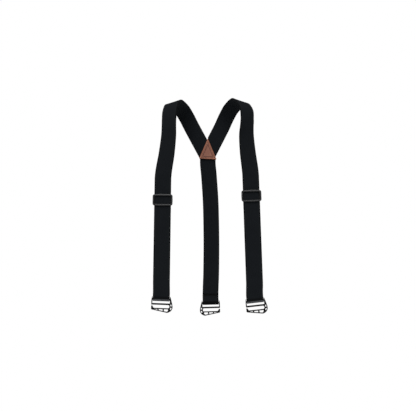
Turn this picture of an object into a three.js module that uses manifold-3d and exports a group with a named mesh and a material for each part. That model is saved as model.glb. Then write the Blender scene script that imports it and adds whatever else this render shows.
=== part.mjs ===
// Elastic Y-back braces for heavy work trousers: three webbing straps joined by a leather patch,
// two slide adjusters on the front straps and three moulded hooks on the strap ends.
// Millimetres. +Z is up, +X is to the viewer's right, the wearer's chest is towards -Y.
// The origin lies midway between the two shoulder arches, at the height of their crests.

import * as THREE from 'three';
import { mergeVertices } from 'three/addons/utils/BufferGeometryUtils.js';
import Module from 'manifold-3d';

const wasm = await Module();
wasm.setup();

// ---------- driving sizes ----------

const webWidth = 38;
const webThickness = 1.8;
const gap = 0.3;                // between pieces that lie against each other
const sideClearance = 0.7;      // between a webbing edge and the plastic beside it

// stations of each shoulder strap: [x, y, z, yaw, slope] of its centreline, from the chest, where
// the strap can swing, to the spine; yaw and slope in degrees turn the line across the webbing,
// which runs from its outer to its inner edge
const leftStations = {
  arch: [[-93.2, -63, -127, 14, 0], [-89.5, -60, -90, 22, 0], [-89, -57, -65, 27, 0],
    [-88.8, -50, -45, 27, 2], [-87.5, -34, -20.6, 22, 8], [-81, 0, 2.3, 14, 15],
    [-64, 36, -5.8, 8, 24], [-51, 54, -23.4, 3, 28], [-37, 60, -50, 0, 28]],
  spine: [-1, 60, -117],
};
const rightStations = {
  arch: [[92.4, -63, -127, 14, 0], [89.8, -60, -90, 24, 0], [91, -57, -65, 34, 0],
    [92, -50, -45, 36, 2], [90, -34, -18, 28, 8], [77, 0, 5.4, 14, 16],
    [58.5, 36, -4.6, 6, 24], [46, 54, -23.4, 3, 27], [33.5, 60, -50, 0, 27]],
  spine: [-0.5, 60, -117],
};

// each front strap hangs straight from `top` to `foot`, which is level with the hook's bar
const leftRun = {
  top: [-101.6, -66.5, -192], foot: [-104.2, -71, -462.2], adjusterUp: 224.7, hookTilt: -1.6,
};
const rightRun = {
  top: [98.6, -66.5, -185], foot: [107.4, -71, -466], adjusterUp: 238, hookTilt: 4.6,
};

const loopLegHeight = 8;        // straight legs of the webbing fold above the hook's bar
const loopFrontHeight = 45;     // webbing in front of the fold that moves with the hook
const foldJoinHeight = 38;      // height at which the two layers of webbing come together

const adjusterBarWidth = 3.8;   // height of the adjuster's top and bottom bars
const adjusterBarDepth = 3;
const adjusterHeight = 27;
const adjusterRailWidth = 3;
const adjusterCorner = 5;
const centreBarRadius = 1.2;
const railCover = 0.4;          // plastic of the side rails behind the centre bar
const tailTabLength = 28;       // sewn end of the tail, below the adjuster's centre bar
const tailJoinDrop = 12;

const hookThickness = 3.4;
const hookBarRadius = 2.2;
const hookRib = 2.5;            // plastic left around the hook's windows
const hookEarHeight = 6;
const hookEarTip = 1.1;         // width of an ear at its top
const hookEarWidth = 2.3;       // and beside the bar
const hookSlotDrop = 8.7;       // from the bar's axis to the bottom of the webbing slot
const hookMidBar = 3.8;
const hookMouth = 6.9;          // height of the open slot that takes the trouser loop
const hookGate = 1.8;           // nick between the middle bar and the hook's tip

const patchWidth = 42.5;
const patchHeight = 50;
const patchThickness = 1.6;
const patchCorner = 2.2;
const patchBase = [0.7, -125];  // x and z of the middle of the lower edge
const patchSlant = -3;          // of the lower edge, in degrees
const threadInset = 2.6;        // from the leather's edge to the thread
const threadWidth = 0.8;
const threadHeight = 0.4;
const mitreMargin = 2.5;        // the shoulder straps stop this far above the patch's lower edge

const backStations = [[3.6, 62, -167], [7.4, 61.5, -225], [9, 60.5, -284], [9.4, 59, -342],
  [8.8, 57.5, -400]];
const backHookBar = [7.6, 53, -473];
const backHookTilt = 2.5;
const backPivotDrop = 5;        // below the patch's lower edge
const backTabHeight = 20;
const backTabJoin = 13;

// ---------- colours ----------

const webbing = () => new THREE.MeshStandardMaterial({ color: 0x15181b, roughness: 0.85 });
const thread = () => new THREE.MeshStandardMaterial({ color: 0x1b1d20, roughness: 0.7 });
const leatherThread = () => new THREE.MeshStandardMaterial({ color: 0x6b4433, roughness: 0.7 });
const leather = () => new THREE.MeshStandardMaterial({ color: 0x7e5749, roughness: 0.6 });
const plastic = () => new THREE.MeshStandardMaterial({ color: 0x1c1c1d, roughness: 0.4 });

const braces = new THREE.Group();

function addPiece(name, geometry, material) {
  const mesh = new THREE.Mesh(geometry, material);
  mesh.name = name;
  braces.add(mesh);
}

// ---------- solids ----------

const vec = (x, y, z) => new THREE.Vector3(x, y, z);
const radians = THREE.MathUtils.degToRad;

function closedGeometry(points, triangles) {
  const geometry = new THREE.BufferGeometry();
  geometry.setAttribute('position', new THREE.Float32BufferAttribute(points, 3));
  geometry.setIndex(triangles);
  return geometry;
}

function toSolid(geometry) {
  const bare = geometry.clone();
  bare.deleteAttribute('normal');
  bare.deleteAttribute('uv');
  const merged = mergeVertices(bare, 1e-4);
  const mesh = new wasm.Mesh({
    numProp: 3,
    vertProperties: new Float32Array(merged.attributes.position.array),
    triVerts: new Uint32Array(merged.index.array),
  });
  return new wasm.Manifold(mesh);
}

function toGeometry(solid) {
  const mesh = solid.getMesh();
  return closedGeometry(Array.from(mesh.vertProperties), Array.from(mesh.triVerts));
}

function boxSolid(low, high) {
  const size = high.map((value, axis) => value - low[axis]);
  const box = new THREE.BoxGeometry(...size);
  box.translate(...low.map((value, axis) => value + size[axis] / 2));
  return toSolid(box);
}

// a closed outline whose corners, [x, z, radius], are rounded
function roundedOutline(corners, PathType = THREE.Shape) {
  const path = new PathType();
  corners.forEach(([x, z, radius], index) => {
    const here = new THREE.Vector2(x, z);
    const before = corners[(index + corners.length - 1) % corners.length];
    const after = corners[(index + 1) % corners.length];
    const start = here.clone().lerp(new THREE.Vector2(before[0], before[1]),
      radius / here.distanceTo(new THREE.Vector2(before[0], before[1])));
    const end = here.clone().lerp(new THREE.Vector2(after[0], after[1]),
      radius / here.distanceTo(new THREE.Vector2(after[0], after[1])));
    if (index === 0) path.moveTo(start.x, start.y);
    else path.lineTo(start.x, start.y);
    path.quadraticCurveTo(x, z, end.x, end.y);
  });
  path.closePath();
  return path;
}

// an outline drawn in x and z becomes a plate from y = front to y = back
function plate(outline, front, back, curveSegments = 4) {
  const geometry = new THREE.ExtrudeGeometry(outline, {
    depth: back - front, bevelEnabled: false, curveSegments,
  });
  geometry.rotateX(Math.PI / 2);
  geometry.translate(0, back, 0);
  return geometry;
}

// ---------- webbing ----------

// a frame on a strap: its middle, the way it runs and the line across it
const frame = (point, along, across) => ({ point, along, across });

function squared(point, along, across) {
  const run = along.clone().normalize();
  const level = across.clone().addScaledVector(run, -across.dot(run)).normalize();
  return frame(point.clone(), run, level);
}

function hermite(start, end, startSlope, endSlope, t) {
  const t2 = t * t;
  const t3 = t2 * t;
  return start * (2 * t3 - 3 * t2 + 1) + startSlope * (t3 - 2 * t2 + t)
    + end * (3 * t2 - 2 * t3) + endSlope * (t3 - t2);
}

// a smooth run of webbing from one frame to another
function bridge(from, to, steps) {
  const reach = from.point.distanceTo(to.point);
  const frames = [];
  for (let step = 0; step <= steps; step += 1) {
    const t = step / steps;
    const at = (axis) => hermite(from.point[axis], to.point[axis],
      from.along[axis] * reach, to.along[axis] * reach, t);
    const point = vec(at('x'), at('y'), at('z'));
    const blend = t * t * (3 - 2 * t);
    frames.push(frame(point, null, from.across.clone().lerp(to.across, blend)));
  }
  return withRuns(frames, from.along, to.along);
}

function withRuns(frames, firstRun, lastRun) {
  return frames.map((item, index) => {
    const before = frames[Math.max(index - 1, 0)].point;
    const after = frames[Math.min(index + 1, frames.length - 1)].point;
    let run = after.clone().sub(before);
    if (index === 0) run = firstRun;
    if (index === frames.length - 1) run = lastRun;
    return squared(item.point, run, item.across);
  });
}

// frames along stations [x, y, z, yaw, slope]; `inward` is +1 where the inner edge is towards +X
function framesAlong(stations, inward, firstRun, lastRun, steps) {
  const slopes = stations.map((station, index) => station.map((value, k) => {
    const before = stations[Math.max(index - 1, 0)];
    const after = stations[Math.min(index + 1, stations.length - 1)];
    const end = index === 0 ? firstRun : (index === stations.length - 1 ? lastRun : null);
    if (!end || k > 2) return (after[k] - before[k]) / (end ? 1 : 2);
    const reach = Math.hypot(after[0] - before[0], after[1] - before[1], after[2] - before[2]);
    return end.getComponent(k) * reach;
  }));
  const frames = [];
  for (let index = 0; index < stations.length - 1; index += 1) {
    for (let step = index === 0 ? 0 : 1; step <= steps; step += 1) {
      const [x, y, z, yaw, slope] = stations[index].map((value, k) => hermite(
        value, stations[index + 1][k], slopes[index][k], slopes[index + 1][k], step / steps));
      const across = vec(inward * Math.cos(radians(yaw)) * Math.cos(radians(slope)),
        -Math.sin(radians(yaw)) * Math.cos(radians(slope)), Math.sin(radians(slope)));
      frames.push(frame(vec(x, y, z), null, across));
    }
  }
  return withRuns(frames, firstRun, lastRun);
}

const shifted = (item, distance) => frame(
  item.point.clone().addScaledVector(item.along, distance), item.along, item.across);

// a half-round end: [distance along, share of the thickness]
const roundEnd = [0, 30, 60, 80].map((angle) => [
  webThickness / 2 * Math.sin(radians(angle)), Math.cos(radians(angle))]);

// how far a half-round end's centre stands back from a pivot
const pivotSetback = webThickness / 2 + gap / 2;

// a strap's solid; an end that turns about a pivot is set back from it and half round
function strapSolid(frames, roundStart = false, roundFinish = false) {
  const sections = frames.map((item) => ({ item, share: 1 }));
  if (roundStart) {
    const base = shifted(frames[0], pivotSetback);
    const tip = roundEnd.map(([out, share]) => ({ item: shifted(base, -out), share }));
    sections.splice(0, 1, ...tip.reverse());
  }
  if (roundFinish) {
    const base = shifted(frames[frames.length - 1], -pivotSetback);
    const tip = roundEnd.map(([out, share]) => ({ item: shifted(base, out), share }));
    sections.splice(-1, 1, ...tip);
  }
  const points = [];
  const triangles = [];
  sections.forEach(({ item, share }, ring) => {
    const facing = item.along.clone().cross(item.across);
    for (const [side, face] of [[-1, -1], [1, -1], [1, 1], [-1, 1]]) {
      const corner = item.point.clone()
        .addScaledVector(item.across, side * webWidth / 2)
        .addScaledVector(facing, face * share * webThickness / 2);
      points.push(corner.x, corner.y, corner.z);
    }
    if (ring === 0) return;
    for (let side = 0; side < 4; side += 1) {
      const a = (ring - 1) * 4 + side;
      const b = (ring - 1) * 4 + (side + 1) % 4;
      triangles.push(a, b, b + 4, a, b + 4, a + 4);
    }
  });
  const last = (sections.length - 1) * 4;
  triangles.push(0, 2, 1, 0, 3, 2, last, last + 1, last + 2, last, last + 2, last + 3);
  return closedGeometry(points, triangles);
}

// a strap's own axes: x across it, y to its back, z up it
function axesAt(point, upward, tilt = 0) {
  const z = upward.clone().normalize();
  const x = vec(z.z, 0, -z.x).normalize();
  const y = z.clone().cross(x);
  const turn = new THREE.Matrix4().makeRotationY(-radians(tilt));
  return new THREE.Matrix4().makeBasis(x, y, z).setPosition(point).multiply(turn);
}

const inAxes = (axes, x, y, z) => vec(x, y, z).applyMatrix4(axes);
const directionIn = (axes, x, y, z) => vec(x, y, z).transformDirection(axes);

// frames of a path drawn in a strap's own y and z, as [y, z, run in y, run in z]
const pathIn = (axes, steps) => steps.map(([y, z, runY, runZ]) => squared(
  inAxes(axes, 0, y, z), directionIn(axes, 0, runY, runZ), directionIn(axes, 1, 0, 0)));

// a half turn round a bar, from one side of it to the other; turn is +1 or -1
function halfTurn(centreY, centreZ, radius, start, turn, steps) {
  const path = [];
  for (let step = 0; step <= steps; step += 1) {
    const angle = radians(start + turn * 180 * step / steps);
    path.push([centreY + radius * Math.cos(angle), centreZ + radius * Math.sin(angle),
      -turn * Math.sin(angle), turn * Math.cos(angle)]);
  }
  return path;
}

const foldRadius = hookBarRadius + gap + webThickness / 2;   // webbing's middle round a hook's bar
const layerPitch = webThickness + gap;                       // between two layers' middles

// ---------- hooks ----------

const webHalf = webWidth / 2 + sideClearance;
const hookMouthTop = -(hookSlotDrop + hookMidBar);
const hookMouthFloor = hookMouthTop - hookMouth;
const hookOuter = webHalf + hookEarWidth;

function hookGeometry() {
  const mouthEnd = webHalf - 0.7;
  const lowRib = hookMouthFloor - hookRib;
  const outline = roundedOutline([
    [-webHalf, hookEarHeight, 0.5], [-webHalf - hookEarTip, hookEarHeight, 0.5],
    [-hookOuter, -1, 2], [-hookOuter, hookMouthTop, 1.2], [mouthEnd, hookMouthTop, 3.4],
    [mouthEnd, hookMouthFloor, 3.4], [-webHalf + 3, hookMouthFloor, 1.5],
    [-webHalf + 0.5, hookMouthTop - hookGate, 0.8], [-hookOuter, hookMouthTop - hookGate, 1.2],
    [-hookOuter, hookMouthFloor - 3.7, 2], [webHalf - 4.2, hookMouthFloor - 10.8, 3.2],
    [webHalf + 3, hookMouthFloor - 6.8, 2.5], [webHalf + 6.3, hookMouthFloor - 1.4, 2.5],
    [webHalf + 6.7, hookMouthTop - 3, 2.5], [webHalf + 4.9, -hookSlotDrop + 1.2, 2.5],
    [webHalf + hookEarTip, hookEarHeight, 0.5], [webHalf, hookEarHeight, 0.5],
    [webHalf, -hookSlotDrop, 0.6], [-webHalf, -hookSlotDrop, 0.6],
  ]);
  const windows = [
    [[-14.5, lowRib, 0.3], [-14.5, lowRib - 0.7, 0.3], [-7.5, lowRib - 2, 0.5],
      [-7.5, lowRib, 0.5]],
    [[-4.9, lowRib, 0.6], [-4.9, lowRib - 2.4, 0.6], [4.3, lowRib - 4.1, 0.6],
      [4.3, lowRib, 0.6]],
    [[6.9, lowRib, 0.6], [6.9, lowRib - 4.5, 0.6], [14, lowRib - 5.7, 1.2],
      [16.8, lowRib - 2.8, 1.2], [16.4, lowRib, 0.8]],
    [[webHalf + 1.4, -hookSlotDrop - 2.2, 0.6], [webHalf + 1.4, -hookSlotDrop - 6.4, 0.6],
      [webHalf + 4.7, -hookSlotDrop - 6.4, 0.6], [webHalf + 3.7, -hookSlotDrop - 2, 0.6]],
    [[webHalf + 1.6, hookMouthFloor + 1.2, 0.6], [webHalf + 0.7, hookMouthFloor - 2.2, 0.8],
      [webHalf + 1.4, hookMouthFloor - 4.2, 0.6], [webHalf + 4.1, hookMouthFloor - 1.9, 0.8],
      [webHalf + 4.6, hookMouthFloor + 1.2, 0.6]],
  ];
  outline.holes = windows.map((corners) => roundedOutline(corners.reverse(), THREE.Path));
  const body = toSolid(plate(outline, -hookThickness / 2, hookThickness / 2, 3));
  const bar = new THREE.CylinderGeometry(hookBarRadius, hookBarRadius, 2 * webHalf + 2, 20);
  bar.rotateZ(Math.PI / 2);
  return toGeometry(body.add(toSolid(bar)));
}

// ---------- adjusters ----------

const adjusterOuter = webHalf + adjusterRailWidth;
const adjusterFront = -(webThickness / 2 + gap + adjusterBarDepth);
const centreBarY = webThickness / 2 + gap + webThickness + gap + centreBarRadius;
const tailFoldRadius = centreBarRadius + gap + webThickness / 2;

function adjusterGeometry() {
  const half = adjusterHeight / 2;
  const window = half - adjusterBarWidth;
  const ring = roundedOutline([
    [-adjusterOuter, half, adjusterCorner], [-adjusterOuter, -half, adjusterCorner],
    [adjusterOuter, -half, adjusterCorner], [adjusterOuter, half, adjusterCorner]]);
  ring.holes = [roundedOutline([
    [-webHalf, window, 0.8], [webHalf, window, 0.8], [webHalf, -window, 0.8],
    [-webHalf, -window, 0.8]], THREE.Path)];
  let solid = toSolid(plate(ring, adjusterFront, adjusterFront + adjusterBarDepth, 5));
  const railBack = centreBarY + centreBarRadius + railCover;
  const railStart = adjusterFront + adjusterBarDepth / 2;
  for (const side of [-1, 1]) {
    const rail = roundedOutline([
      [railStart, half - adjusterCorner, 0.5], [railStart, -half + adjusterCorner, 0.5],
      [railBack, -centreBarRadius - 1.6, 2], [railBack, centreBarRadius + 1.6, 2]]);
    const geometry = new THREE.ExtrudeGeometry(rail, {
      depth: adjusterRailWidth, bevelEnabled: false, curveSegments: 4 });
    geometry.rotateX(Math.PI / 2);
    geometry.rotateZ(Math.PI / 2);
    geometry.translate(side > 0 ? webHalf : -adjusterOuter, 0, 0);
    solid = solid.add(toSolid(geometry));
  }
  const bar = new THREE.CylinderGeometry(centreBarRadius, centreBarRadius, 2 * webHalf + 2, 16);
  bar.rotateZ(Math.PI / 2);
  bar.translate(0, centreBarY, 0);
  return toGeometry(solid.add(toSolid(bar)));
}

// a flat ring of thread round a sewn rectangle, lying on a strap
function threadBox(width, height, front) {
  const outer = [width / 2, height / 2];
  const inner = [width / 2 - threadWidth, height / 2 - threadWidth];
  const corners = ([x, z]) => [[-x, z, 0.3], [-x, -z, 0.3], [x, -z, 0.3], [x, z, 0.3]];
  const outline = roundedOutline(corners(outer));
  outline.holes = [roundedOutline(corners(inner).reverse(), THREE.Path)];
  return plate(outline, front, front + threadHeight, 2);
}

// ---------- the sewn joint between the shoulders ----------

const strapPlane = leftStations.spine[1];
const frontPatchBack = strapPlane - webThickness / 2 - gap;
const anchorPlane = strapPlane + layerPitch;
const rearPatchFront = anchorPlane + webThickness / 2 + gap;

// the patch's triangle, drawn `inset` inside its edge
function patchCorners(inset, radius) {
  const side = Math.hypot(patchWidth / 2, patchHeight);
  const sideLean = inset * side / (patchWidth / 2);
  const halfBase = (patchHeight - inset - sideLean) * patchWidth / 2 / patchHeight;
  const slant = Math.tan(radians(patchSlant));
  const place = ([x, z, r]) => [patchBase[0] + x, patchBase[1] + z + x * slant, r];
  return [[0, patchHeight - sideLean, radius], [-halfBase, inset, radius],
    [halfBase, inset, radius]].map(place);
}

function patchThread(front) {
  const outline = roundedOutline(patchCorners(threadInset, patchCorner));
  outline.holes = [roundedOutline(
    patchCorners(threadInset + threadWidth, patchCorner - 0.8).reverse(), THREE.Path)];
  return plate(outline, front, front + threadHeight);
}

const patchOutline = () => roundedOutline(patchCorners(0, patchCorner));
addPiece('front_patch',
  plate(patchOutline(), frontPatchBack - patchThickness, frontPatchBack), leather());
addPiece('rear_patch',
  plate(patchOutline(), rearPatchFront, rearPatchFront + patchThickness), leather());
addPiece('front_patch_stitching',
  patchThread(frontPatchBack - patchThickness - threadHeight), leatherThread());
addPiece('rear_patch_stitching', patchThread(rearPatchFront + patchThickness), leatherThread());

// everything beyond the mitre: the far side of the centre line and all below the straps' cut ends
function mitreCut(inward) {
  const reach = 200;
  const middle = patchBase[0] - inward * gap / 2;
  const low = [inward > 0 ? middle : middle - reach, 0, -reach];
  const high = [inward > 0 ? middle + reach : middle, 2 * strapPlane, 0];
  const below = boxSolid([-reach, 0, -2 * reach], [reach, 2 * strapPlane, patchBase[1] + mitreMargin]);
  return boxSolid(low, high).add(below);
}

// ---------- shoulder and front straps ----------

function addSide(side, stations, run, inward) {
  const foot = vec(...run.foot);
  const top = vec(...run.top);
  const upward = top.clone().sub(foot).normalize();
  const strap = axesAt(foot, upward);
  const hookAxes = strap.clone()
    .multiply(new THREE.Matrix4().makeTranslation(0, foldRadius, 0))
    .multiply(new THREE.Matrix4().makeRotationY(-radians(run.hookTilt)));

  // over the shoulder, from the chest to the patch
  const [pivot, abovePivot] = stations.arch;
  const rise = vec(...abovePivot.slice(0, 3)).sub(top).normalize();
  const lastArch = stations.arch[stations.arch.length - 1];
  const spine = vec(...stations.spine);
  const fall = spine.clone().sub(vec(...lastArch.slice(0, 3))).normalize();
  const arch = framesAlong(stations.arch, inward, rise, fall, 5);
  const leg = arch[arch.length - 1];
  const beyond = shifted(leg, leg.point.distanceTo(spine) + webWidth);
  const shoulder = toSolid(strapSolid([...arch, beyond], true));
  addPiece(`${side}_shoulder_strap`, toGeometry(shoulder.subtract(mitreCut(inward))), webbing());

  // down the chest: the outer layer, from the shoulder pivot to the fold at the hook
  const straightAcross = directionIn(strap, inward, 0, 0);
  const runTop = squared(top, upward, straightAcross);
  const chest = framesAlong([[...run.top, 0, 0], pivot], inward, upward, rise, 8);
  const loopFrontTop = squared(inAxes(strap, 0, 0, loopFrontHeight), upward, straightAcross);
  const outer = [shifted(loopFrontTop, gap), runTop, ...chest.slice(1)];
  addPiece(`${side}_front_strap`, strapSolid(outer, false, true), webbing());

  // the fold round the hook's bar and the webbing just above it
  const frontLeg = pathIn(hookAxes, [[-foldRadius, loopLegHeight, 0, -1]])[0];
  const backLeg = pathIn(hookAxes, [[foldRadius, loopLegHeight, 0, 1]])[0];
  const fold = pathIn(hookAxes, halfTurn(0, 0, foldRadius, 180, 1, 12));
  addPiece(`${side}_hook_loop`, strapSolid([frontLeg, ...fold, backLeg]), webbing());
  const loopTop = pathIn(strap, [[0, loopFrontHeight, 0, -1]])[0];
  addPiece(`${side}_loop_front`, strapSolid(bridge(loopTop, shifted(frontLeg, -gap), 4)), webbing());

  // the return layer behind, sewn round the adjuster's centre bar
  const tailStart = shifted(backLeg, gap);
  const joined = pathIn(strap, [[layerPitch, foldJoinHeight, 0, 1]])[0];
  const rear = pathIn(strap, [
    ...halfTurn(centreBarY, run.adjusterUp, tailFoldRadius, 180, -1, 10),
    [2 * layerPitch, run.adjusterUp - tailJoinDrop, 0, -1],
    [2 * layerPitch, run.adjusterUp - tailTabLength, 0, -1]]);
  addPiece(`${side}_tail`, strapSolid([...bridge(tailStart, joined, 6), ...rear]), webbing());
  const sewn = threadBox(webWidth - 8, tailTabLength - tailJoinDrop - 5,
    2 * layerPitch + webThickness / 2);
  sewn.translate(0, 0, run.adjusterUp - (tailTabLength + tailJoinDrop) / 2);
  addPiece(`${side}_tail_stitching`, sewn.applyMatrix4(strap), thread());

  const adjuster = adjusterGeometry();
  adjuster.translate(0, 0, run.adjusterUp);
  addPiece(`${side}_adjuster`, adjuster.applyMatrix4(strap), plastic());
  addPiece(`${side}_hook`, hookGeometry().applyMatrix4(hookAxes), plastic());
}

addSide('left', leftStations, leftRun, 1);
addSide('right', rightStations, rightRun, -1);

// ---------- back strap ----------

const backTop = vec(patchBase[0], anchorPlane, patchBase[1] - backPivotDrop);
const straightDown = vec(0, 0, -1);
const levelAcross = vec(1, 0, 0);

// the sewn-in end behind the shoulder straps, cut to the patch's shape
const anchorOutline = patchCorners(1.2, 1);
anchorOutline.splice(1, 2,
  [patchBase[0] - patchWidth / 2, patchBase[1] + 1, 0.5],
  [patchBase[0] - patchWidth / 2, patchBase[1] - webWidth, 0.5],
  [patchBase[0] + patchWidth / 2, patchBase[1] - webWidth, 0.5],
  [patchBase[0] + patchWidth / 2, patchBase[1] + 1, 0.5]);
const anchorTop = backTop.clone().add(vec(0, 0, patchHeight));
const anchorStrip = strapSolid([squared(anchorTop, straightDown, levelAcross),
  squared(backTop, straightDown, levelAcross)], false, true);
const anchorShape = plate(roundedOutline(anchorOutline), strapPlane, anchorPlane + webThickness);
addPiece('back_strap_anchor',
  toGeometry(toSolid(anchorStrip).intersect(toSolid(anchorShape))), webbing());

// the strap down the spine, folded forward round its hook's bar and sewn to itself
const backBar = vec(...backHookBar);
const backAxes = axesAt(backBar, vec(...backStations[backStations.length - 1].slice(0, 3)).sub(backBar),
  backHookTilt);
const backLeg = pathIn(backAxes, [[foldRadius, loopLegHeight, 0, -1]])[0];
const spineRun = framesAlong(
  [[...backTop.toArray(), 0, 0], ...backStations.map((point) => [...point, 0, 0]),
    [...backLeg.point.toArray(), 0, 0]], 1, straightDown, backLeg.along, 4);
spineRun.splice(-1, 1, backLeg);
const tabMiddle = foldRadius - layerPitch;
const tabEnd = pathIn(backAxes, [
  ...halfTurn(0, 0, foldRadius, 0, -1, 12),
  [-foldRadius + 0.4, hookBarRadius + 1.8, 0.3, 1],
  [tabMiddle - 0.8, backTabJoin - 3, 0.4, 1],
  [tabMiddle, backTabJoin, 0, 1],
  [tabMiddle, backTabHeight, 0, 1]]);
addPiece('back_strap', strapSolid([...spineRun, ...tabEnd], true), webbing());
const backSewn = threadBox(webWidth - 6, backTabHeight - backTabJoin - 1,
  tabMiddle - webThickness / 2 - threadHeight);
backSewn.translate(0, 0, (backTabHeight + backTabJoin) / 2);
addPiece('back_tab_stitching', backSewn.applyMatrix4(backAxes), thread());
const backHook = hookGeometry();
backHook.rotateZ(Math.PI);
addPiece('back_hook', backHook.applyMatrix4(backAxes), plastic());

export default braces;
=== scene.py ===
# %% [markdown]
# # Elastic braces with a leather back patch
#
# These braces hold up heavy work trousers. Two elastic straps run from a leather patch between
# the shoulder blades, over the shoulders and down the chest, and a third runs down the back.
# Each strap ends in a flat moulded hook, and each front strap has a slide adjuster.
#
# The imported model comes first, because every piece below takes its place and its motion from it.
# Its box is kept, to compare with the finished model's box at the end.

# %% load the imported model
import math
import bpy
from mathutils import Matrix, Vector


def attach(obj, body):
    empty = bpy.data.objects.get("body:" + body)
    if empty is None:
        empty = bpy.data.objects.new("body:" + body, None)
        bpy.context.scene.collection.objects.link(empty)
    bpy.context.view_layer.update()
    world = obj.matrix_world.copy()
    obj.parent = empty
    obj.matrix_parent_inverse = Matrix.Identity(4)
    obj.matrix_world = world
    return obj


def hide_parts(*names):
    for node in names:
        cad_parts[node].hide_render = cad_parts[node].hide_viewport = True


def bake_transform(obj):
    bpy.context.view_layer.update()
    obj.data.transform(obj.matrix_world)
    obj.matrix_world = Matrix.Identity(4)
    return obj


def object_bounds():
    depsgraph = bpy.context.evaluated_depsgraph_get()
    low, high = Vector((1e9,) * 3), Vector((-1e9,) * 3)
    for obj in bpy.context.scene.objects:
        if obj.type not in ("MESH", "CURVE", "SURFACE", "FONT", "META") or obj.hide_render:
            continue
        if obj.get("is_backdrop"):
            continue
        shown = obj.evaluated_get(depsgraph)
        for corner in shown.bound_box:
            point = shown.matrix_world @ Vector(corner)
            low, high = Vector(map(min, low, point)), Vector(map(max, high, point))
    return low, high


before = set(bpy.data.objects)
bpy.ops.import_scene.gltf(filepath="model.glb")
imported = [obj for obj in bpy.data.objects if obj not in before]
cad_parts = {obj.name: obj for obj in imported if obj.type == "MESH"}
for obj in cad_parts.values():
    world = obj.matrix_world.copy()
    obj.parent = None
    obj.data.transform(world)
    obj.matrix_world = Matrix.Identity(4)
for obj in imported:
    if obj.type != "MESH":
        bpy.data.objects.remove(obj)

from types import SimpleNamespace

import bmesh
import bpy
from mathutils import Matrix, Vector
from mathutils.geometry import tessellate_polygon

cad_box = [list(corner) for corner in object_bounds()]
print("CAD box in metres:", cad_box)

# %% [markdown]
# ## Sizes
#
# All drawing is done in millimetres, the maker's unit, and turned into metres when a mesh is
# made. The webbing is 38 mm wide and 1.8 mm thick. Where two layers lie together, their middles
# are a thickness and a small gap apart.

# %% sizes shared by all pieces
MM = 0.001
WEB_WIDTH, WEB_THICKNESS, GAP = 38.0, 1.8, 0.3
WEB_HALF = WEB_WIDTH / 2 + 0.7
LAYER_PITCH = WEB_THICKNESS + GAP
HOOK_BAR_RADIUS = 2.2
FOLD_RADIUS = HOOK_BAR_RADIUS + GAP + WEB_THICKNESS / 2
FOLD_LEG = 8.0
CHEST_HINGE_STEP = 8       # the shoulder's length starts at this frame of the chest's run
BACK_DROP = 5.0            # from the patch's lower edge to the back strap's hinge
LOOP_HEIGHT = 45.0         # the straight front layer ends this far above a hook's bar
TURN_HEIGHT = 38.0         # and the returning layer becomes straight here
TAB_LENGTH, TAB_JOIN = 28.0, 12.0   # the sewn end below an adjuster's centre bar
print("two layers of webbing are", LAYER_PITCH, "mm apart")

# %% where the straps run
# Each station is x, y, z, then the yaw and the slope of the line across the webbing, in degrees.
SIDES = {
    "left": {
        "inward": 1,
        "arch": [(-93.2, -63, -127, 14, 0), (-89.5, -60, -90, 22, 0), (-89, -57, -65, 27, 0),
                 (-88.8, -50, -45, 27, 2), (-87.5, -34, -20.6, 22, 8), (-81, 0, 2.3, 14, 15),
                 (-64, 36, -5.8, 8, 24), (-51, 54, -23.4, 3, 28), (-37, 60, -50, 0, 28)],
        "spine": (-1, 60, -117), "top": (-101.6, -66.5, -192), "foot": (-104.2, -71, -462.2),
        "adjuster_up": 224.7, "hook_tilt": -1.6,
    },
    "right": {
        "inward": -1,
        "arch": [(92.4, -63, -127, 14, 0), (89.8, -60, -90, 24, 0), (91, -57, -65, 34, 0),
                 (92, -50, -45, 36, 2), (90, -34, -18, 28, 8), (77, 0, 5.4, 14, 16),
                 (58.5, 36, -4.6, 6, 24), (46, 54, -23.4, 3, 27), (33.5, 60, -50, 0, 27)],
        "spine": (-0.5, 60, -117), "top": (98.6, -66.5, -185), "foot": (107.4, -71, -466),
        "adjuster_up": 238.0, "hook_tilt": 4.6,
    },
}
STRAP_PLANE, ANCHOR_PLANE = 60.0, 62.1
PATCH_BASE, PATCH_SLANT = Vector((0.7, -125.0)), math.tan(math.radians(-3))
PATCH_WIDTH, PATCH_HEIGHT, PATCH_THICKNESS = 42.5, 50.0, 1.6
BACK_STATIONS = [(3.6, 62, -167, 0, 0), (7.4, 61.5, -225, 0, 0), (9, 60.5, -284, 0, 0),
                 (9.4, 59, -342, 0, 0), (8.8, 57.5, -400, 0, 0)]
BACK_HOOK_BAR, BACK_HOOK_TILT = Vector((7.6, 53, -473)), 2.5
print("stations over the shoulders:", {side: len(plan["arch"]) for side, plan in SIDES.items()})

# %% [markdown]
# ## Surfaces made from nodes
#
# Cloth, leather and moulded plastic differ in what changes over the surface: thread by thread,
# pore by pore, or hardly at all. Each finish is a small sum over coordinates. Writing the sums as
# ordinary arithmetic keeps them readable, so one class wraps a socket and turns + - * / into Math
# nodes, and one method makes every other kind of node.

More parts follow.
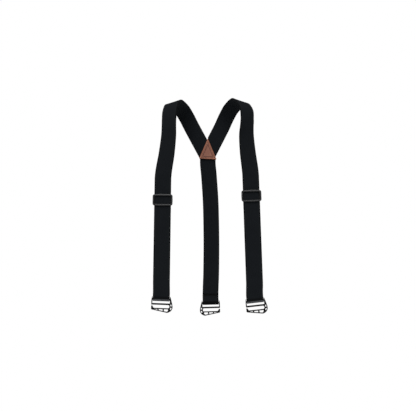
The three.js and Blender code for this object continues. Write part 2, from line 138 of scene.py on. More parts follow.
# %% arithmetic on sockets
class Wire:
    """One output socket, which can be used in sums."""

    def __init__(self, nodes, socket):
        self.nodes, self.socket = nodes, socket

    def math(self, operation, *others, swapped=False):
        terms = [self, *others][::-1] if swapped else [self, *others]
        return self.nodes.node("ShaderNodeMath", {"operation": operation}, dict(enumerate(terms)))

    def also(self, output):
        """Another output of the same node."""
        return Wire(self.nodes, self.socket.node.outputs[output])

    def __add__(self, other):
        return self.math("ADD", other)

    def __radd__(self, other):
        return self.math("ADD", other, swapped=True)

    def __sub__(self, other):
        return self.math("SUBTRACT", other)

    def __rsub__(self, other):
        return self.math("SUBTRACT", other, swapped=True)

    def __mul__(self, other):
        return self.math("MULTIPLY", other)

    def __rmul__(self, other):
        return self.math("MULTIPLY", other, swapped=True)

    def __truediv__(self, other):
        return self.math("DIVIDE", other)

    def __rtruediv__(self, other):
        return self.math("DIVIDE", other, swapped=True)

    def __abs__(self):
        return self.math("ABSOLUTE")

    def clamped(self):
        """Kept between 0 and 1."""
        return self.math("MAXIMUM", 0.0).math("MINIMUM", 1.0)


class Nodes:
    """A node tree, and one way to add any node to it."""

    def __init__(self, tree):
        self.tree = tree

    def node(self, kind, settings, sockets, output=0):
        """A new node: its settings first, then the values or wires of its sockets."""
        made = self.tree.nodes.new(kind)
        for name, value in settings.items():
            setattr(made, name, value)
        for key, value in sockets.items():
            if isinstance(value, Wire):
                self.tree.links.new(value.socket, made.inputs[key])
            else:
                made.inputs[key].default_value = value
        return Wire(self, made.outputs[output])

    def mix(self, share, first, second):
        """From the first colour to the second."""
        first, second = [c if isinstance(c, Wire) else (*c, 1.0) for c in (first, second)]
        return self.node("ShaderNodeMix", {"data_type": "RGBA"}, {0: share, 6: first, 7: second}, 2)

    def noise(self, place, scale, detail):
        return self.node("ShaderNodeTexNoise", {}, {"Vector": place, "Scale": scale, "Detail": detail})

    def object_place(self):
        """Where the surface is on the object, in metres."""
        return self.node("ShaderNodeTexCoord", {}, {}, "Object")


print("wires can be added, subtracted, multiplied and divided")

# %% a finish
class Finish(Nodes):
    """A material with one Principled shader; uniform values are set on its sockets directly."""

    def __init__(self, name, **uniform):
        self.material = bpy.data.materials.new(name)
        self.material.use_nodes = True
        super().__init__(self.material.node_tree)
        self.shader = self.tree.nodes["Principled BSDF"]
        for socket, value in uniform.items():
            self.shader.inputs[socket.replace("_", " ")].default_value = value

    def feed(self, socket, wire):
        self.tree.links.new(wire.socket, self.shader.inputs[socket])

    def relief(self, height, depth, strength):
        """A bump of the given depth in millimetres."""
        bump = self.node("ShaderNodeBump", {}, {"Height": height, "Distance": depth * MM,
                                                "Strength": strength})
        self.feed("Normal", bump)


trial = Finish("trial")
print("a finish starts with", len(trial.tree.nodes), "nodes")
bpy.data.materials.remove(trial.material)

# %% [markdown]
# ## Elastic webbing
#
# Braces webbing is woven with rubber cores running lengthwise, which show as fine ribs, and black
# polyester crossing over and under them. A plain, darker selvedge runs along each edge, with one
# slightly lighter cord beside it. The ribs and the selvedge groove are in the mesh; this finish
# adds the crossing threads, which are too fine to model, and the slight fading along the ribs.
# The map named strap gives millimetres across and along each strap, so the weave follows it.
# Light and shade are also painted into the webbing's colour: a painted highlight where it turns under
# a hook's bar, and painted shade just above the front folds, round the back hook's fold and along the
# back tab's cut end. A value stored in the mesh says where: above 0 painted highlight, below 0 painted
# shade.

# %% webbing finish
def webbing_finish():
    made = Finish("black_elastic_webbing", Specular_IOR_Level=0.08, Sheen_Weight=0.008,
                  Sheen_Roughness=0.4)
    place = made.node("ShaderNodeUVMap", {"uv_map": "strap"}, {})
    across = made.node("ShaderNodeSeparateXYZ", {}, {0: place})
    along = across.also(1)

    rib_pitch, pick_pitch = 1.0, 0.8
    rib = (across * (math.tau / rib_pitch)).math("COSINE")
    turn_over = (across / rib_pitch + 0.5).math("FLOOR") * math.pi
    pick = (along * (math.tau / pick_pitch) + turn_over).math("SINE")

    edge = WEB_WIDTH / 2 - abs(across)
    cord = (1 - abs(edge - 3.35) / 0.4).clamped()
    selvedge = ((3.2 - edge) / 0.3).clamped()

    cloudy = made.noise(place, 0.05, 4.0)
    lint = ((made.noise(place, 1.7, 2.0) - 0.66) * 9).clamped()
    worn = (cloudy * 0.9 + rib * 0.1 + pick * 0.12 - 0.1).clamped()
    colour = made.mix(worn, (0.0026, 0.0035, 0.0047), (0.0060, 0.0073, 0.0089))
    colour = made.mix(selvedge, colour, (0.0010, 0.0014, 0.0019))
    colour = made.mix(cord * 0.9, colour, (0.0150, 0.0166, 0.0186))
    colour = made.mix(lint * 0.22, colour, (0.035, 0.037, 0.040))
    # painted light from the mesh: above 0 mixes in a painted highlight grey, below 0 a painted shade
    # near-black
    painted_light = made.node("ShaderNodeAttribute", {"attribute_name": "painted_light"}, {}, "Fac")
    colour = made.mix(painted_light.clamped(), colour, (0.060, 0.063, 0.067))
    colour = made.mix((0 - painted_light).clamped(), colour, (0.0004, 0.0005, 0.0007))
    made.feed("Base Color", colour)
    made.feed("Roughness", 0.78 + cloudy * 0.16 - cord * 0.12)
    made.relief(pick * 0.35 + rib * 0.2 + made.noise(place, 2.2, 3.0) * 0.5, 0.14, 0.7)
    return made


webbing = webbing_finish()
print("webbing finish:", len(webbing.tree.nodes), "nodes")

# %% [markdown]
# ## Leather
#
# The patch is vegetable-tanned leather, dyed brown right through. Its face has a pebbled grain and
# a cloudy colour, and its cut edges are burnished, which leaves them more orange and smoother.
# Voronoi cells make the pebbles, noise makes the clouds, and a map named inset, which holds the
# distance from the cut edge in millimetres, places the burnish, the paler rim that the stitches
# stand on and the darker pressed line.

# %% leather finish
def leather_finish():
    made = Finish("brown_patch_leather", Specular_IOR_Level=0.25)
    place = made.object_place()
    inset = made.node("ShaderNodeSeparateXYZ", {}, {0: made.node(
        "ShaderNodeUVMap", {"uv_map": "inset"}, {})})
    pebbles = made.node("ShaderNodeTexVoronoi", {"feature": "DISTANCE_TO_EDGE"},
                        {"Vector": place, "Scale": 1150.0})
    creases = ((0.16 - pebbles) / 0.16).clamped()
    cloudy = made.noise(place, 70.0, 5.0)
    streaks = made.noise(place, 420.0, 3.0)
    burnish = (1 - inset / 1.5).clamped()
    pressed = ((1.15 - abs(inset - 5.65)) / 0.7).clamped()
    rim = (1 - abs(inset - 2.6) / 2.4).clamped()

    colour = made.mix((cloudy * 1.7 - 0.35).clamped(), (0.140, 0.052, 0.033), (0.282, 0.124, 0.083))
    colour = made.mix((streaks * 1.5 - 0.45).clamped() * 0.45, colour, (0.220, 0.094, 0.064))
    colour = made.mix(creases * 0.35, colour, (0.085, 0.032, 0.022))
    colour = made.mix(rim * 0.75, colour, (0.330, 0.132, 0.080))
    colour = made.mix(pressed * 0.85, colour, (0.078, 0.029, 0.022))
    colour = made.mix(burnish * 0.8, colour, (0.205, 0.068, 0.030))
    made.feed("Base Color", colour)
    made.feed("Roughness", 0.62 + creases * 0.2 - burnish * 0.16 - streaks * 0.1)
    made.relief(pebbles * 2.2 + streaks * 0.4, 0.22, 0.8)
    return made


leather = leather_finish()
print("leather finish:", len(leather.tree.nodes), "nodes")

# %% [markdown]
# ## Thread
#
# Sewing thread is three strands twisted together, so a stitch shows slanting turns. Each stitch is
# a small bead of its own in the mesh, and a fine slanting wave in the finish gives it the twist.

# %% thread finishes
def thread_finish(name, dark, light, shine):
    made = Finish(name, Specular_IOR_Level=shine)
    place = made.object_place()
    twist = made.node("ShaderNodeTexWave", {"bands_direction": "DIAGONAL"},
                      {"Vector": place, "Scale": 900.0, "Distortion": 1.5})
    fuzz = made.noise(place, 1800.0, 2.0)
    made.feed("Base Color", made.mix(twist * 0.6 + fuzz * 0.3, dark, light))
    made.feed("Roughness", 0.55 + fuzz * 0.25)
    made.relief(twist, 0.08, 0.7)
    return made


black_thread = thread_finish("black_thread", (0.004, 0.0046, 0.0056), (0.012, 0.013, 0.015), 0.15)
brown_thread = thread_finish("brown_thread", (0.026, 0.009, 0.006), (0.085, 0.032, 0.020), 0.2)
print("two thread finishes made")

# %% [markdown]
# ## Moulded plastic
#
# The hooks and adjusters are black nylon. A mould leaves a fine even texture, gates and handling
# leave slightly glossier clouds, and the proudest edges are polished by wear. Pointiness finds
# those edges, so the wear needs no painting by hand.

# %% plastic finishes
def plastic_finish(name, dark, light, shine, rough):
    made = Finish(name, Specular_IOR_Level=shine)
    place = made.object_place()
    cloudy = made.noise(place, 60.0, 4.0)
    grain = made.noise(place, 2600.0, 2.0)
    edge_wear_and_painted_fold_light = ((made.node("ShaderNodeNewGeometry", {}, {}, "Pointiness") - 0.52) * 9).clamped()
    scuffs = ((made.noise(place, 340.0, 5.0) - 0.6) * 7).clamped()
    colour = made.mix(cloudy, dark, light)
    colour = made.mix(edge_wear_and_painted_fold_light * 0.35, colour, tuple(2.1 * part for part in light))
    colour = made.mix(scuffs * 0.18, colour, tuple(2.4 * part for part in light))
    made.feed("Base Color", colour)
    made.feed("Roughness", rough + cloudy * 0.12 + scuffs * 0.15 - edge_wear_and_painted_fold_light * 0.08)
    made.relief(grain + cloudy * 0.5, 0.03, 0.6)
    return made


adjuster_plastic = plastic_finish("adjuster_nylon", (0.0045, 0.0047, 0.0052), (0.0095, 0.0098, 0.0104),
                                  0.42, 0.34)
hook_plastic = plastic_finish("hook_nylon", (0.0014, 0.0014, 0.0016), (0.0036, 0.0037, 0.0040),
                              0.1, 0.42)
print("two plastic finishes made")

# %% [markdown]
# ## Frames along a strap
#
# A strap is easiest to think of as a line with a direction across it. A frame holds a point, the
# way the webbing runs there and the line across it. Curves between known frames are cubic, so the
# webbing leaves and arrives in the right direction, as woven elastic does when it hangs freely.

# %% curves and frames
def squared(point, along, across):
    """A frame whose across line is square to the run."""
    run = along.normalized()
    return point, run, (across - run * across.dot(run)).normalized()


def hermite(start, end, start_slope, end_slope, t):
    return (start * (2 * t ** 3 - 3 * t ** 2 + 1) + start_slope * (t ** 3 - 2 * t ** 2 + t)
            + end * (3 * t ** 2 - 2 * t ** 3) + end_slope * (t ** 3 - t ** 2))


def with_runs(points, acrosses, first_run, last_run):
    """Frames on a line of points; the ends run as told and the rest from neighbour to neighbour."""
    made = []
    for index, (point, across) in enumerate(zip(points, acrosses)):
        run = points[min(index + 1, len(points) - 1)] - points[max(index - 1, 0)]
        if index == 0:
            run = first_run
        if index == len(points) - 1:
            run = last_run
        made.append(squared(point, run, across))
    return made


def bridge(start, end, steps):
    """A smooth run of webbing from one frame to another."""
    reach = (end[0] - start[0]).length
    points, acrosses = [], []
    for step in range(steps + 1):
        t = step / steps
        points.append(hermite(start[0], end[0], start[1] * reach, end[1] * reach, t))
        acrosses.append(start[2].lerp(end[2], t * t * (3 - 2 * t)))
    return with_runs(points, acrosses, start[1], end[1])


def frames_along(stations, inward, first_run, last_run, steps):
    """Frames through stations that also give the yaw and slope of the line across."""
    rows, slopes, points, acrosses = [Vector(s) for s in stations], [], [], []
    for index in range(len(rows)):
        before, after = rows[max(index - 1, 0)], rows[min(index + 1, len(rows) - 1)]
        end = {0: first_run, len(rows) - 1: last_run}.get(index)
        slope = (after - before) / (2 if end is None else 1)
        if end is not None:
            slope = Vector((*(end * Vector((after - before)[:3]).length), slope[3], slope[4]))
        slopes.append(slope)
    for index in range(len(rows) - 1):
        for step in range(0 if index == 0 else 1, steps + 1):
            x, y, z, yaw, tilt = hermite(rows[index], rows[index + 1], slopes[index],
                                         slopes[index + 1], step / steps)
            yaw, tilt = math.radians(yaw), math.radians(tilt)
            points.append(Vector((x, y, z)))
            acrosses.append(Vector((inward * math.cos(yaw) * math.cos(tilt),
                                    -math.sin(yaw) * math.cos(tilt), math.sin(tilt))))
    return with_runs(points, acrosses, first_run, last_run)


print("a curve from 0 to 1 that starts and ends level is at", hermite(0, 1, 0, 0, 0.25), "after a quarter")

# %% small steps on frames
def shifted(item, distance):
    return item[0] + item[1] * distance, item[1], item[2]


def turned_back(item):
    """The same place, running the other way."""
    return item[0], -item[1], item[2]


def straight(start, end, spacing=4.0):
    """Evenly spaced frames from start to end, without the two ends."""
    count = max(round((end[0] - start[0]).length / spacing), 1)
    return [(start[0].lerp(end[0], step / count), start[1], start[2].lerp(end[2], step / count))
            for step in range(1, count)]


level_start = (Vector((0, 0, 0)), Vector((1, 0, 0)), Vector((0, 1, 0)))
print("frames on a straight run of 40 mm:", len(straight(level_start, shifted(level_start, 40.0))))

# %% a strap's own axes
def axes_at(point, upward, tilt=0.0):
    """x across the strap, y to its back and z up it, then tilted in its own plane."""
    z = upward.normalized()
    x = Vector((z.z, 0, -z.x)).normalized()
    turn = Matrix((x, z.cross(x), z)).transposed().to_4x4()
    return Matrix.Translation(point) @ turn @ Matrix.Rotation(-math.radians(tilt), 4, "Y")


def path_in(axes, steps, inward=1):
    """Frames of a path given in a strap's own y and z, each with the way it runs."""
    turn = axes.to_3x3()
    return [squared(axes @ Vector((0, y, z)), turn @ Vector((0, run_y, run_z)),
                    turn @ Vector((inward, 0, 0))) for y, z, run_y, run_z in steps]


def half_turn(centre_y, centre_z, radius, start, turn, steps):
    """Half way round a bar."""
    made = []
    for step in range(steps + 1):
        angle = math.radians(start + turn * 180 * step / steps)
        made.append((centre_y + radius * math.cos(angle), centre_z + radius * math.sin(angle),
                     -turn * math.sin(angle), turn * math.cos(angle)))
    return made


print("a fold round a hook's bar takes", round(math.pi * FOLD_RADIUS, 1), "mm of webbing")

# %% [markdown]
# ## A length of webbing
#
# The section of real braces webbing isn't a plain rectangle. It has rounded selvedges, a shallow
# groove beside each, and about thirty ribs. A solid strip with that section, swept along the
# frames, keeps its true thickness at every fold, where a flat sheet with a Solidify modifier
# would thin out or cross itself round a 5 mm bar.

# %% the section of the webbing
def webbing_section():
    half = WEB_THICKNESS / 2
    face = [(0.5 * step, half if step % 2 == 0 else half - 0.09) for step in range(31)]
    face += [(15.6, half - 0.17), (16.2, half - 0.03), (17.3, half), (18.3, half - 0.05)]
    face = [(-x, y) for x, y in face[:0:-1]] + face
    edge = [(WEB_WIDTH / 2 - 0.25, half - 0.25), (WEB_WIDTH / 2, half - 0.6)]
    edge += [(x, -y) for x, y in edge[::-1]]
    return face + edge + [(x, -y) for x, y in face[::-1]] + [(-x, -y) for x, y in edge], len(face)


SECTION, FACE_COUNT = webbing_section()
print("points round the webbing:", len(SECTION))

# %% strip maker
def strip_mesh(frames, length=0.0, direction=1, painted_light_at=lambda point: 0.0):
    """A closed strip of webbing, and the length reached on the tape at its far end."""
    vertices, places, faces, painted_lights = [], [], [], []
    count = len(SECTION)
    for ring, (point, along, across) in enumerate(frames):
        if ring:
            length += direction * (point - frames[ring - 1][0]).length
        facing = along.cross(across)
        vertices += [(point + across * x + facing * y) * MM for x, y in SECTION]
        places += [(x, length) for x, _ in SECTION]
        # painted light for each ring: above 0 painted highlight, below 0 painted shade
        painted_lights += [painted_light_at(point)] * count
        if ring:
            start = (ring - 1) * count
            faces += [(start + k, start + (k + 1) % count, start + (k + 1) % count + count,
                       start + k + count) for k in range(count)]
    edge_count = count // 2 - FACE_COUNT
    for start in (0, (len(frames) - 1) * count):
        opposite = 2 * FACE_COUNT + edge_count - 1
        faces += [(start + k, start + k + 1, start + opposite - k - 1, start + opposite - k)
                  for k in range(FACE_COUNT - 1)]
        faces.append([start + k for k in range(FACE_COUNT - 1, FACE_COUNT + edge_count + 1)])
        faces.append([start + k % count for k in range(opposite, count + 1)])
    mesh = bpy.data.meshes.new("webbing")
    mesh.from_pydata(vertices, [], faces)
    strap_map = mesh.uv_layers.new(name="strap")
    for loop in mesh.loops:
        strap_map.uv[loop.index].vector = places[loop.vertex_index]
    mesh.attributes.new("painted_light", "FLOAT", "POINT").data.foreach_set("value", painted_lights)
    return mesh, length


print("the webbing has", FACE_COUNT - 1, "strips of faces on each side")

# %% finishing a mesh
def eased(value, start, end):
    """From 0 at start to 1 at end, and level beyond them."""
    return min(max((value - start) / (end - start), 0.0), 1.0)


def smoothed(mesh):
    """Normals outward, smooth except at true edges."""
    shape = bmesh.new()
    shape.from_mesh(mesh)
    bmesh.ops.recalc_face_normals(shape, faces=shape.faces)
    shape.to_mesh(mesh)
    shape.free()
    mesh.shade_smooth()
    mesh.set_sharp_from_angle(angle=math.radians(38))
    return mesh


def cut_away(mesh, point, normal, behind=-100.0):
    """Cuts off all that lies beyond a plane and behind y = behind, and closes the cut."""
    shape = bmesh.new()
    shape.from_mesh(mesh)
    parts = set(face for face in shape.faces if all(v.co.y > behind * MM for v in face.verts))
    for face in list(parts):
        parts.update(face.verts, face.edges)
    bmesh.ops.bisect_plane(shape, geom=list(parts), dist=1e-7,
                           plane_co=Vector(point) * MM, plane_no=Vector(normal), clear_outer=True)
    open_edges = [edge for edge in shape.edges if edge.is_boundary]
    closing = bmesh.ops.holes_fill(shape, edges=open_edges, sides=0)["faces"]
    bmesh.ops.triangulate(shape, faces=closing)
    shape.to_mesh(mesh)
    shape.free()


def add_piece(name, mesh, finish, slot, *nodes):
    """A finished piece in the scene, standing for the CAD nodes named."""
    mesh.materials.clear()
    mesh.materials.append(finish.material)
    mesh.polygons.foreach_set("material_index", [0] * len(mesh.polygons))
    piece = bpy.data.objects.new(name, smoothed(mesh))
    bpy.context.scene.collection.objects.link(piece)
    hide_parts(*nodes)
    print(f"{name}: {len(mesh.vertices)} vertices")
    return piece


print("halfway between 2 and 4 mm, eased gives", eased(3.0, 2.0, 4.0))

# %% [markdown]
# ## Mouldings
#
# A hook or an adjuster is a flat moulding with every edge rounded, because sharp plastic would cut
# the webbing. Drawing its outline with rounded corners and stepping the edge inwards in a quarter
# circle gives that edge exactly, even round the windows, where a Bevel modifier can fail
# on narrow ribs. Bars are turned like lathe work and joined on with a Boolean.

# %% outlines with rounded corners
def rounded_outline(corners, steps=5, side_steps=1):
    """Corners are x, z and how far from the corner the rounding starts."""
    made = []
    for index, (x, z, radius) in enumerate(corners):
        *after, after_radius = corners[(index + 1) % len(corners)]
        here, before, after = Vector((x, z)), Vector(corners[index - 1][:2]), Vector(after)
        start = here.lerp(before, radius / (before - here).length)
        end = here.lerp(after, radius / (after - here).length)
        for step in range(steps + 1):
            t = step / steps
            made.append(start * (1 - t) ** 2 + here * 2 * t * (1 - t) + end * t * t)
        next_start = after.lerp(here, after_radius / (after - here).length)
        made += [end.lerp(next_start, step / side_steps) for step in range(1, side_steps)]
    return made


def turning(outline, anticlockwise):
    """The outline, running the way asked for."""
    area = sum(a.x * b.y - b.x * a.y for a, b in zip(outline, outline[1:] + outline[:1]))
    return outline if (area > 0) == anticlockwise else outline[::-1]


def moved_in(outline, distance):
    """The outline moved to its left, into the material."""
    made = []
    for index, here in enumerate(outline):
        before = (here - outline[index - 1]).normalized()
        after = (outline[(index + 1) % len(outline)] - here).normalized()
        middle = (before + after).normalized()
        share = max(middle.dot(after), 0.6)
        made.append(here + Vector((-middle.y, middle.x)) * distance / share)
    return made


square = rounded_outline([(0, 0, 1), (10, 0, 1), (10, 10, 1), (0, 10, 1)])
print("a rounded square has", len(square), "points")

# %% moulded plates and turned bars
def moulded_plate(outlines, front, back, edge, steps=4):
    """A plate from y = front to y = back with rounded edges; the first outline is the outer one."""
    loops = [turning(outline, index == 0) for index, outline in enumerate(outlines)]
    quarter = [(edge * (1 - math.sin(a)), edge * (1 - math.cos(a)))
               for a in (math.pi / 2 * step / steps for step in range(steps + 1))]
    levels = [(inset, front + depth) for inset, depth in quarter]
    levels += [(inset, back - depth) for inset, depth in quarter[::-1]]
    vertices, faces, caps = [], [], {0: [], len(levels) - 1: []}
    numbers = {0: [], len(levels) - 1: []}
    for loop in loops:
        count, base = len(loop), len(vertices)
        for level, (inset, y) in enumerate(levels):
            ring = moved_in(loop, inset)
            if level in caps:
                caps[level].append([Vector((p.x, p.y, 0)) for p in ring])
                numbers[level] += range(len(vertices), len(vertices) + count)
            vertices += [Vector((p.x, y, p.y)) for p in ring]
        for level in range(len(levels) - 1):
            start = base + level * count
            faces += [(start + k, start + (k + 1) % count, start + (k + 1) % count + count,
                       start + k + count) for k in range(count)]
    for level, rings in caps.items():
        faces += [[numbers[level][k] for k in triangle] for triangle in tessellate_polygon(rings)]
    return vertices, faces


def turned_bar(profile, centre_y=0.0, segments=28):
    """A bar along x; the profile is x and radius from end to end."""
    vertices, faces = [], []
    for ring, (x, radius) in enumerate(profile):
        vertices += [Vector((x, centre_y + radius * math.cos(math.tau * k / segments),
                             radius * math.sin(math.tau * k / segments))) for k in range(segments)]
        if ring:
            start = (ring - 1) * segments
            faces += [(start + k, start + (k + 1) % segments, start + (k + 1) % segments + segments,
                       start + k + segments) for k in range(segments)]
    faces += [list(range(segments)), list(range(len(vertices) - segments, len(vertices)))]
    return vertices, faces


print("a bar with two rings has", len(turned_bar([(0, 1), (5, 1)])[0]), "vertices")

# %% placing and joining shapes
def mesh_in(axes, vertices, faces):
    mesh = bpy.data.meshes.new("shape")
    mesh.from_pydata([(axes @ v) * MM for v in vertices], [], faces)
    return smoothed(mesh)


def fused(first, *others):
    """The shapes joined into one skin."""
    bodies = [bpy.data.objects.new("shape", mesh) for mesh in (first, *others)]
    for body in bodies:
        bpy.context.scene.collection.objects.link(body)
    for other in bodies[1:]:
        union = bodies[0].modifiers.new("union", "BOOLEAN")
        union.operation, union.solver, union.object = "UNION", "MANIFOLD", other
    evaluated = bodies[0].evaluated_get(bpy.context.evaluated_depsgraph_get())
    mesh = bpy.data.meshes.new_from_object(evaluated)
    for body in bodies:
        bpy.data.objects.remove(body)
    return mesh


print("a drawing's 5 mm becomes", 5 * MM, "m")

# %% [markdown]
# ## The hook
#
# The strap folds round a round bar between two ears. Below it is a slot, then the middle bar, and
# then the open mouth that takes the trouser loop. The loop springs in past the nick on one side.
# Windows lighten the lower arm and the closed end, and leave ribs nearly 3 mm wide. The bar swells
# a little where it meets the ears, as a moulding does to avoid a weak corner. One shape serves for
# all three hooks, because the back one is the same moulding turned round.

# %% hook outline and windows
HOOK_THICKNESS, HOOK_EDGE, HOOK_GATE, HOOK_RIB = 3.4, 0.35, 1.8, 2.5
RIB_EXTRA = 0.25   # each window is this much smaller all round, so the ribs are stouter
HOOK_EAR, HOOK_EAR_TIP, HOOK_EAR_WIDTH = 6.0, 1.1, 2.3
HOOK_MOUTH_TOP, HOOK_MOUTH_FLOOR, HOOK_SLOT = -12.5, -19.4, -8.7


def hook_outline(w, slot, top, floor):
    """The hook's outer edge, with its slot and its open mouth."""
    outer, tip, gate = w + HOOK_EAR_WIDTH, w + HOOK_EAR_TIP, top - HOOK_GATE
    return rounded_outline([
        (-w, HOOK_EAR, 0.5), (-tip, HOOK_EAR, 0.5), (-outer, -1, 2), (-outer, top, 1.2),
        (w - 0.7, top, 3.4), (w - 0.7, floor, 3.4), (-w + 3, floor, 1.5), (-w + 0.5, gate, 0.8),
        (-outer, gate, 1.2), (-outer, floor - 3.7, 2), (w - 4.2, floor - 10.8, 3.2),
        (w + 3, floor - 6.8, 2.5), (w + 6.3, floor - 1.4, 2.5), (w + 6.7, top - 3, 2.5),
        (w + 4.9, slot + 1.2, 2.5), (tip, HOOK_EAR, 0.5), (w, HOOK_EAR, 0.5), (w, slot, 0.6),
        (-w, slot, 0.6)])


def hook_windows(w, slot, floor):
    """Three windows in the lower arm and two in the closed end."""
    rib = floor - HOOK_RIB
    return [moved_in(turning(rounded_outline(corners, 4), False), -RIB_EXTRA) for corners in (
        [(-14.5, rib, 0.3), (-14.5, rib - 0.7, 0.3), (-7.5, rib - 2, 0.5), (-7.5, rib, 0.5)],
        [(-4.9, rib, 0.6), (-4.9, rib - 2.4, 0.6), (4.3, rib - 4.1, 0.6), (4.3, rib, 0.6)],
        [(6.9, rib, 0.6), (6.9, rib - 4.5, 0.6), (14, rib - 5.7, 1.2), (16.8, rib - 2.8, 1.2),
         (16.4, rib, 0.8)],
        [(w + 1.4, slot - 2.2, 0.6), (w + 1.4, slot - 6.4, 0.6), (w + 4.7, slot - 6.4, 0.6),
         (w + 3.7, slot - 2, 0.6)],
        [(w + 1.6, floor + 1.2, 0.6), (w + 0.7, floor - 2.2, 0.8), (w + 1.4, floor - 4.2, 0.6),
         (w + 4.1, floor - 1.9, 0.8), (w + 4.6, floor + 1.2, 0.6)])]


print("mouth", round(HOOK_MOUTH_TOP - HOOK_MOUTH_FLOOR, 1), "mm high, gate", HOOK_GATE, "mm")

# %% hook moulding
def hook_mesh(axes):
    w = WEB_HALF
    outline = hook_outline(w, HOOK_SLOT, HOOK_MOUTH_TOP, HOOK_MOUTH_FLOOR)
    windows = hook_windows(w, HOOK_SLOT, HOOK_MOUTH_FLOOR)
    plate = mesh_in(axes, *moulded_plate([outline, *windows], -HOOK_THICKNESS / 2,
                                         HOOK_THICKNESS / 2, HOOK_EDGE))
    end, swell = w + 1.3, 0.35
    half_bar = [(w - 0.7, HOOK_BAR_RADIUS), (w - 0.35, HOOK_BAR_RADIUS + 0.08),
                (w + 0.05, HOOK_BAR_RADIUS + swell), (end - 0.4, 2.0), (end, 1.6)]
    profile = [(-x, radius) for x, radius in half_bar[::-1]] + half_bar
    bar = mesh_in(axes, *turned_bar(profile))
    return fused(plate, bar)


print("hook about", round(2 * WEB_HALF + HOOK_EAR_WIDTH + 6.7, 1), "mm wide")

# %% [markdown]
# ## The slide adjuster
#
# A slide has a frame in front of the webbing and a thin centre bar behind it, which the end of the
# webbing is sewn round. The frame's top and bottom bars bow outwards slightly and are well
# rounded, so that light catches the upper one. Its window is a little narrower than the webbing,
# so it covers both selvedges. Two side rails behind the frame carry the centre bar.

# %% adjuster moulding
ADJUSTER_FRONT, ADJUSTER_DEPTH, CENTRE_BAR_RADIUS = -4.2, 3.0, 1.2
CENTRE_BAR_Y = WEB_THICKNESS * 1.5 + 2 * GAP + CENTRE_BAR_RADIUS
TAIL_FOLD_RADIUS = CENTRE_BAR_RADIUS + GAP + WEB_THICKNESS / 2
WINDOW_COVER = 1.2   # from the webbing's slot to the window's side; the frame hides the selvedge


def adjuster_mesh(axes):
    outer, w = WEB_HALF + 3, WEB_HALF
    ring = rounded_outline([
        (-outer, 12.5, 4.8), (-outer, -12.5, 4.8), (0, -14.0, 15), (outer, -12.5, 4.8),
        (outer, 12.5, 4.8), (0, 14.0, 15)], 7)
    inner = w - WINDOW_COVER
    window = rounded_outline([
        (-inner, 9.6, 2.4), (inner, 9.6, 2.4), (inner, -9.6, 2.4), (-inner, -9.6, 2.4)], 6)
    frame_plate = mesh_in(axes, *moulded_plate(
        [ring, window], ADJUSTER_FRONT, ADJUSTER_FRONT + ADJUSTER_DEPTH, 1.15, 6))
    rail_back, rail_front = CENTRE_BAR_Y + CENTRE_BAR_RADIUS + 0.4, ADJUSTER_FRONT + 1.5
    rails = []
    for side in (-1, 1):
        rail = rounded_outline([(rail_front, 8.2, 0.5), (rail_front, -8.2, 0.5),
                                (rail_back, -2.8, 2), (rail_back, 2.8, 2)], 5)
        low, high = sorted((side * (w + 0.12), side * (outer - 0.15)))
        vertices, faces = moulded_plate([rail], low, high, 0.5)
        rails.append(mesh_in(axes, [Vector((v.y, v.x, v.z)) for v in vertices], faces))
    bar = mesh_in(axes, *turned_bar([(-w - 1, CENTRE_BAR_RADIUS), (w + 1, CENTRE_BAR_RADIUS)],
                                    CENTRE_BAR_Y, 20))
    return fused(frame_plate, *rails, bar)


print("the centre bar's axis is", round(CENTRE_BAR_Y, 2), "mm behind the front layer's middle")

# %% [markdown]
# ## Stitches
#
# A lockstitch shows on the face as a row of short raised dashes with small gaps between them, and
# each one slants a little because the thread crosses from one side of the needle to the other.
# They are made one by one, since their slant and their gaps are what the eye looks for.

# %% rows of stitches
def stitch_mesh(axes, corners, plane, pitch, length, width, height, slant):
    """Stitches along the closed path through the corners, raised from y = plane."""
    shape = bmesh.new()
    for index, start in enumerate(corners):
        side = corners[(index + 1) % len(corners)] - start
        count = max(round(side.length / pitch), 1)
        for number in range(count):
            middle = start + side * (number + 0.5) / count
            angle = math.atan2(side.y, side.x) + math.radians(slant)
            place = (Matrix.Scale(MM, 4) @ axes @ Matrix.Translation((middle.x, plane, middle.y))
                     @ Matrix.Rotation(-angle, 4, "Y")
                     @ Matrix.Diagonal((length, height, width, 1)))
            bmesh.ops.create_uvsphere(shape, u_segments=8, v_segments=6, radius=0.5,
                                      matrix=place @ Matrix.Rotation(math.pi / 2, 4, "Y"))
    mesh = bpy.data.meshes.new("stitches")
    shape.to_mesh(mesh)
    shape.free()
    return mesh


STITCH_INSET, STITCH_PITCH = 3.0, 3.0
print("the leather is sewn", STITCH_INSET, "mm from its edge, a stitch every", STITCH_PITCH, "mm")

# %% [markdown]
# ## The leather patches
#
# One triangle of leather lies on the front of the join and one on the back, and a single row of
# stitching goes through both. Each face is a set of rings that follow the triangle inwards. The
# outer rings round the cut edge, the next ones dip under the thread and pucker between
# stitches, and one narrow pair is pressed in as a decorative line. The middle is flat, a few
# hundredths of a millimetre below the rings around it.

# %% patch shape
def patch_corners(inset, radius):
    """The patch's triangle, drawn some way inside its edge."""
    side = math.hypot(PATCH_WIDTH / 2, PATCH_HEIGHT)
    side_lean = inset * side / (PATCH_WIDTH / 2)
    half_base = (PATCH_HEIGHT - inset - side_lean) * PATCH_WIDTH / 2 / PATCH_HEIGHT
    corners = [(0, PATCH_HEIGHT - side_lean), (-half_base, inset), (half_base, inset)]
    return [(PATCH_BASE.x + x, PATCH_BASE.y + z + x * PATCH_SLANT, radius) for x, z in corners]


